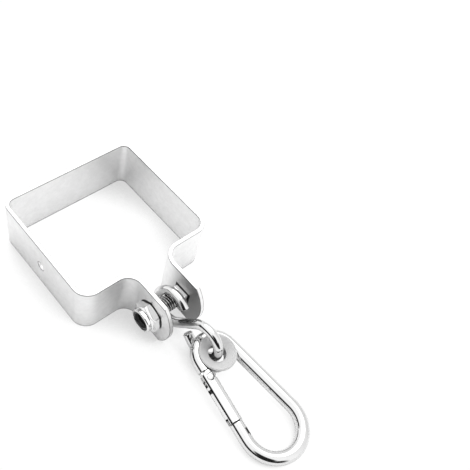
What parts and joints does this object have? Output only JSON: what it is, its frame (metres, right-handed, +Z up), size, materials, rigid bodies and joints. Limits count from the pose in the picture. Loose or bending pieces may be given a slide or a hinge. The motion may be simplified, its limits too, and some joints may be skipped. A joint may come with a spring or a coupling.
{
  "type": "hammock hook",
  "caption": "Beam clamp strap with cross bolt and lock nut, carrying an S-hook and a spring-gated snap hook with a nylon bushing, for hanging a hammock.",
  "frame": {"origin": "centre of the beam opening in the clamp strap, on the middle of the strap's width", "axes": "+Z up when hung from a level beam, +Y along the beam, +X along the clamp bolt towards its domed head"},
  "size_m": [0.096, 0.035, 0.2181],
  "materials": {
    "strap": "satin galvanised",
    "zinc": "bright zinc plated",
    "spring": "plain spring wire",
    "insert": "matt",
    "nylon": "milky, slightly glossy"
  },
  "bodies": {
    "clamp": {"clamp_strap": "strap", "carriage_bolt": "zinc", "lock_nut": "zinc", "nylon_insert": "insert"},
    "link": {"s_hook": "zinc"},
    "eye_bush": {"bushing": "nylon"},
    "snap_hook": {"snap_hook_body": "zinc", "gate_rivet": "zinc"},
    "gate": {"snap_gate": "zinc", "gate_spring": "spring"},
    "plunger": {"gate_plunger": "zinc"}
  },
  "joints": [
    {"name": "link_swing", "type": "hinge", "parent": "clamp", "child": "link", "pos_m": [0, 0, -0.06425], "axis": [1, 0, 0], "range_deg": [-100, 100]},
    {"name": "bush_rock", "type": "hinge", "parent": "link", "child": "eye_bush", "pos_m": [0.00109, 0.00349, -0.09438], "axis": [0.9875, 0.1345, 0.0823], "range_deg": [-45, 45]},
    {"name": "hook_turn", "type": "hinge", "parent": "eye_bush", "child": "snap_hook", "pos_m": [0.0025, 0.0065, -0.1045], "axis": [0, 0.9945, 0.1045], "range_deg": [-60, 60]},
    {"name": "gate_open", "type": "hinge", "parent": "snap_hook", "child": "gate", "pos_m": [-0.01025, 0.0074, -0.11302], "axis": [0, -0.9945, -0.1045], "range_deg": [0, 30], "stiffness_Nm_per_rad": 0.1, "springref_deg": -17.19},
    {"name": "plunger_slide", "type": "slide", "parent": "gate", "child": "plunger", "axis": [-0.1428, 0.1035, -0.9843], "range_m": [0, 0.00065], "deforming": ["gate_spring"]}
  ],
  "couplings": [
    {"joint": "plunger_slide", "follows": "gate_open", "m_per_rad": 0.001146}
  ]
}
